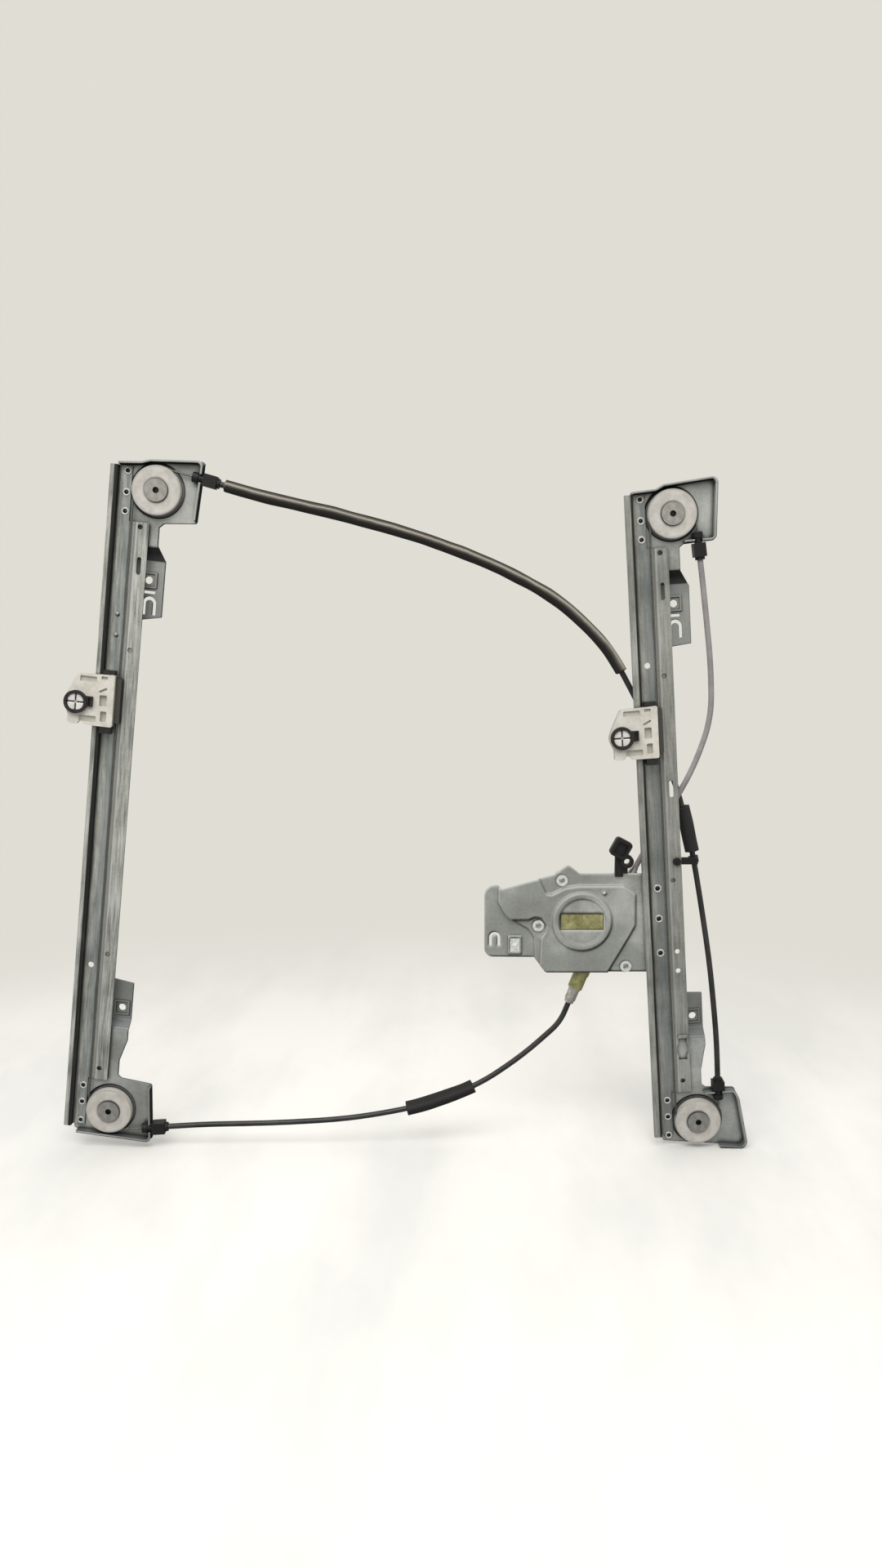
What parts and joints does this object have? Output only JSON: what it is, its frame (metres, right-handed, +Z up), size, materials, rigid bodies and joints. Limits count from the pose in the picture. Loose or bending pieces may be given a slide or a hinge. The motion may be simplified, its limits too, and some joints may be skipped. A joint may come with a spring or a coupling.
{
  "type": "window regulator",
  "caption": "Dual-rail vehicle window regulator: a drum pulls one cable circuit through conduits and corner pulleys so that both glass carriers rise and fall together.",
  "frame": {"origin": "on the drum axis, in the plane where the motor seats on the drum housing", "axes": "+X to the right and +Z up as seen from the glass side, +Y to the inside of the door"},
  "size_m": [0.6307, 0.033, 0.6186],
  "materials": {
    "rail_steel": "zinc plated, greasy",
    "bracket_steel": "zinc plated",
    "plate_steel": "zinc plated",
    "rivet_steel": "dull",
    "axle_steel": "dull",
    "bush_steel": "bright",
    "ferrule_steel": "satin",
    "spring_steel": "oiled",
    "cable_steel": "greased strands",
    "pulley_plastic": "off-white",
    "housing_plastic": "olive yellow",
    "cover_plastic": "black",
    "drum_plastic": "natural",
    "carrier_plastic": "ivory, grimy",
    "clip_plastic": "white",
    "black_plastic": "black",
    "conduit_black": "black",
    "conduit_grey": "grey",
    "foam": "foam",
    "rubber": "dull black"
  },
  "bodies": {
    "frame": {"bracket_bottom_left": "bracket_steel", "bracket_bottom_right": "bracket_steel", "bracket_top_left": "bracket_steel", "bracket_top_right": "bracket_steel", "cable_crossing": "cable_steel", "cable_lower": "cable_steel", "cable_upper": "cable_steel", "clinch_pins_left": "rivet_steel", "clinch_pins_right": "rivet_steel", "conduit_clip": "black_plastic", "conduit_crossing": "conduit_black", "conduit_lower": "conduit_black", "conduit_upper": "conduit_grey", "drum_housing": "housing_plastic", "drum_plate": "plate_steel", "end_fitting_bottom_left": "black_plastic", "end_fitting_bottom_right": "black_plastic", "end_fitting_top_left": "black_plastic", "end_fitting_top_right": "black_plastic", "ferrule_lower": "ferrule_steel", "ferrule_upper": "ferrule_steel", "foam_sleeve": "foam", "housing_cover": "cover_plastic", "motor_bushes": "bush_steel", "nut_cage": "plate_steel", "plate_nut": "rivet_steel", "plate_rivets": "rivet_steel", "pulley_axle_bottom_left": "axle_steel", "pulley_axle_bottom_right": "axle_steel", "pulley_axle_top_left": "axle_steel", "pulley_axle_top_right": "axle_steel", "rail_left": "rail_steel", "rail_right": "rail_steel", "sleeve_lower": "rubber", "sleeve_right": "rubber", "spring_lower": "spring_steel", "spring_upper": "spring_steel", "wiring_clip": "black_plastic"},
    "carrier_left": {"carrier_left": "carrier_plastic", "glass_ring_left": "rubber", "glass_clip_left": "clip_plastic", "bumper_left": "rubber", "lower_stop_left": "rubber", "cable_nipples_left": "cable_steel"},
    "pulley_top_left": {"pulley_top_left": "pulley_plastic"},
    "pulley_bottom_left": {"pulley_bottom_left": "pulley_plastic"},
    "carrier_right": {"carrier_right": "carrier_plastic", "glass_ring_right": "rubber", "glass_clip_right": "clip_plastic", "bumper_right": "rubber", "lower_stop_right": "rubber", "cable_nipples_right": "cable_steel"},
    "pulley_top_right": {"pulley_top_right": "pulley_plastic"},
    "pulley_bottom_right": {"pulley_bottom_right": "pulley_plastic"},
    "drum": {"drum": "drum_plastic", "drum_windings": "cable_steel"}
  },
  "joints": [
    {"name": "carrier_left_slide", "type": "slide", "parent": "frame", "child": "carrier_left", "axis": [0.1132, 0, 0.9936], "range_m": [-0.29, 0.12]},
    {"name": "carrier_right_slide", "type": "slide", "parent": "frame", "child": "carrier_right", "axis": [-0.0715, 0, 0.9974], "range_m": [-0.2905, 0.1205]},
    {"name": "drum_spin", "type": "hinge", "parent": "frame", "child": "drum", "pos_m": [0, 0, 0], "axis": [0, 1, 0], "range_deg": [-831.79, 344.77]},
    {"name": "pulley_top_left_spin", "type": "hinge", "parent": "frame", "child": "pulley_top_left", "pos_m": [-0.3695, -0.0204, 0.3787], "axis": [0, 1, 0], "range_deg": [-853.09, 353.59]},
    {"name": "pulley_bottom_left_spin", "type": "hinge", "parent": "frame", "child": "pulley_bottom_left", "pos_m": [-0.43295, -0.0204, -0.1782], "axis": [0, 1, 0], "range_deg": [-853.09, 353.59]},
    {"name": "pulley_top_right_spin", "type": "hinge", "parent": "frame", "child": "pulley_top_right", "pos_m": [0.0704, -0.0204, 0.3592], "axis": [0, 1, 0], "range_deg": [-853.09, 353.59]},
    {"name": "pulley_bottom_right_spin", "type": "hinge", "parent": "frame", "child": "pulley_bottom_right", "pos_m": [0.10965, -0.0204, -0.1884], "axis": [0, 1, 0], "range_deg": [-853.09, 353.59]}
  ],
  "couplings": [
    {"joint": "carrier_right_slide", "follows": "carrier_left_slide", "ratio": 1},
    {"joint": "drum_spin", "follows": "carrier_left_slide", "rad_per_m": 50},
    {"joint": "pulley_top_left_spin", "follows": "carrier_left_slide", "rad_per_m": 51.282},
    {"joint": "pulley_bottom_left_spin", "follows": "carrier_left_slide", "rad_per_m": 51.282},
    {"joint": "pulley_top_right_spin", "follows": "carrier_left_slide", "rad_per_m": 51.282},
    {"joint": "pulley_bottom_right_spin", "follows": "carrier_left_slide", "rad_per_m": 51.282}
  ]
}
